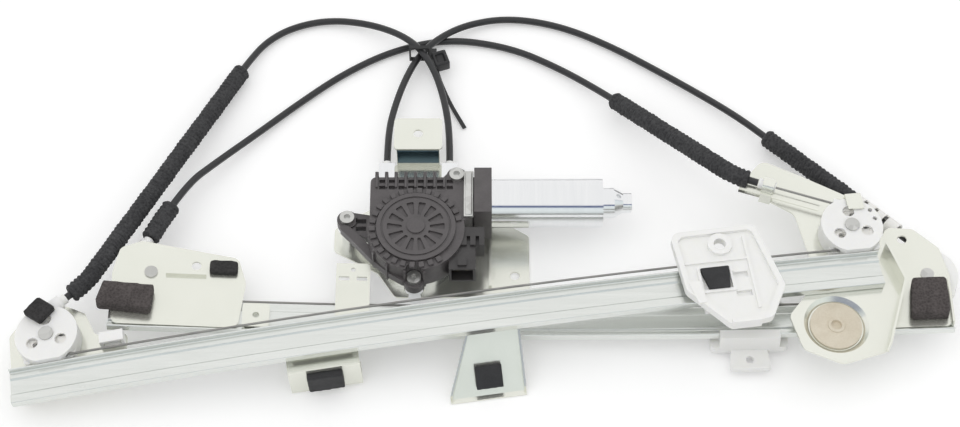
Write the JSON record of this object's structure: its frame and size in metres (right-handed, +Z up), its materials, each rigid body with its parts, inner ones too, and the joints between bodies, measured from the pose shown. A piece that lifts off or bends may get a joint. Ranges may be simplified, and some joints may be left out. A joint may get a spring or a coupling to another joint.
{
  "type": "window regulator",
  "caption": "Cable-driven window regulator with two curved rails, glass carriers, pulleys, conduits and a worm gear motor",
  "frame": {"origin": "floor under the crossing of the two rails, near the middle of the part", "axes": "+X along the rear rail to its upper end, +Y to the motor and conduit side, +Z up"},
  "size_m": [0.6376, 0.3335, 0.0545],
  "materials": {
    "rail_steel": "bright galvanised rolled sheet",
    "plated_steel": "yellowish zinc plated stamped sheet, satin",
    "white_plastic": "off-white acetal, satin",
    "pulley_plastic": "natural white acetal",
    "pin_steel": "zinc plated steel",
    "rope_steel": "greased stranded steel rope",
    "black_foam": "black foam, matt",
    "black_rubber": "black rubber, matt",
    "gearcase_plastic": "warm dark grey glass-filled plastic, matt",
    "dark_plastic": "black plastic",
    "can_steel": "bright zinc plated drawn steel",
    "magnet_ferrite": "dark ferrite",
    "core_steel": "stacked sheet steel",
    "copper": "enamelled copper",
    "carbon": "carbon brush",
    "contact_brass": "tinned brass",
    "conduit_black": "black extruded cable sheath",
    "nylon_black": "black nylon"
  },
  "bodies": {
    "base": {"front_rail": "rail_steel", "rear_rail": "rail_steel", "front_lower_plate": "plated_steel", "front_upper_plate": "plated_steel", "rear_lower_plate": "plated_steel", "rear_upper_plate": "plated_steel", "front_centre_tab": "plated_steel", "front_side_tab": "plated_steel", "rear_bracket": "plated_steel", "front_lower_pulley_case": "white_plastic", "front_upper_pulley_case": "white_plastic", "rear_lower_pulley_case": "white_plastic", "rear_upper_pulley_case": "white_plastic", "pulley_pins": "pin_steel", "conduit_ferrules": "white_plastic", "front_rope": "rope_steel", "rear_rope": "rope_steel", "drum_ropes": "rope_steel", "tab_buffers": "black_rubber", "front_lower_buffer": "black_foam", "front_lower_clip": "white_plastic", "rear_lower_foam": "black_foam", "rear_upper_foam": "black_foam", "rear_plate_pad": "black_foam", "rear_rail_clip": "plated_steel", "motor_plate": "plated_steel", "drum_housing": "can_steel", "gearbox_housing": "gearcase_plastic", "gearbox_cover": "gearcase_plastic", "gearbox_screws": "pin_steel", "connector": "dark_plastic", "connector_pins": "contact_brass", "motor_can": "can_steel", "bearing_cap": "can_steel", "magnets": "magnet_ferrite", "brush_holder": "dark_plastic", "brushes": "carbon", "conduit_to_rear_rail": "conduit_black", "conduit_to_front_rail": "conduit_black", "conduit_link": "conduit_black", "conduit_sleeves": "black_foam", "zip_tie": "nylon_black"},
    "armature": {"armature_shaft": "pin_steel", "armature_core": "core_steel", "armature_windings": "copper", "commutator": "contact_brass"},
    "drum": {"worm_wheel": "pulley_plastic", "drive_damper": "black_rubber", "drive_shaft": "pin_steel", "cable_drum": "pulley_plastic"},
    "front_lower_wheel": {"front_lower_pulley": "pulley_plastic"},
    "front_upper_wheel": {"front_upper_pulley": "pulley_plastic"},
    "rear_lower_wheel": {"rear_lower_pulley": "pulley_plastic"},
    "rear_upper_wheel": {"rear_upper_pulley": "pulley_plastic"},
    "front_carrier": {"front_slider": "white_plastic", "front_slider_insert": "black_rubber", "front_rope_nipple": "pin_steel"},
    "rear_carrier": {"rear_slider": "white_plastic", "rear_rope_nipple": "pin_steel"}
  },
  "joints": [
    {"name": "front_carrier_travel", "type": "hinge", "parent": "base", "child": "front_carrier", "pos_m": [0.05488, -0.04849, -3.458], "axis": [-0.1435, 0.9897, 0], "range_deg": [-5.72, 0.07]},
    {"name": "rear_carrier_travel", "type": "hinge", "parent": "base", "child": "rear_carrier", "pos_m": [0.0555, -0.049, 3.5146], "axis": [0, 1, 0], "range_deg": [-0.07, 5.84]},
    {"name": "armature_spin", "type": "hinge", "parent": "base", "child": "armature", "pos_m": [0.04, 0.039, 0.0285], "axis": [1, 0, 0], "range_deg": [-27892.63, 318.77]},
    {"name": "drum_spin", "type": "hinge", "parent": "base", "child": "drum", "pos_m": [-0.0479, 0.0116, 0.02], "axis": [0, 0, 1], "range_deg": [-929.76, 10.63]},
    {"name": "front_lower_pulley_spin", "type": "hinge", "parent": "base", "child": "front_lower_wheel", "pos_m": [-0.29086, -0.06679, 0.02849], "axis": [-0.0974, -0.0141, 0.9951], "range_deg": [-1278.41, 14.61]},
    {"name": "front_upper_pulley_spin", "type": "hinge", "parent": "base", "child": "front_upper_wheel", "pos_m": [0.2464, 0.01111, 0.03989], "axis": [0.056, 0.0081, 0.9984], "range_deg": [-1278.41, 14.61]},
    {"name": "rear_lower_pulley_spin", "type": "hinge", "parent": "base", "child": "rear_lower_wheel", "pos_m": [-0.22648, -0.0175, 0.02247], "axis": [0.0805, 0, 0.9968], "range_deg": [-1278.41, 14.61]},
    {"name": "rear_upper_pulley_spin", "type": "hinge", "parent": "base", "child": "rear_upper_wheel", "pos_m": [0.29755, -0.0175, 0.01947], "axis": [-0.0691, 0, 0.9976], "range_deg": [-1278.41, 14.61]}
  ],
  "couplings": [
    {"joint": "rear_carrier_travel", "follows": "front_carrier_travel", "ratio": -1},
    {"joint": "armature_spin", "follows": "front_carrier_travel", "ratio": 4777.5},
    {"joint": "drum_spin", "follows": "front_carrier_travel", "ratio": 159.25},
    {"joint": "front_lower_pulley_spin", "follows": "front_carrier_travel", "ratio": 218.97},
    {"joint": "front_upper_pulley_spin", "follows": "front_carrier_travel", "ratio": 218.97},
    {"joint": "rear_lower_pulley_spin", "follows": "front_carrier_travel", "ratio": 218.97},
    {"joint": "rear_upper_pulley_spin", "follows": "front_carrier_travel", "ratio": 218.97}
  ]
}
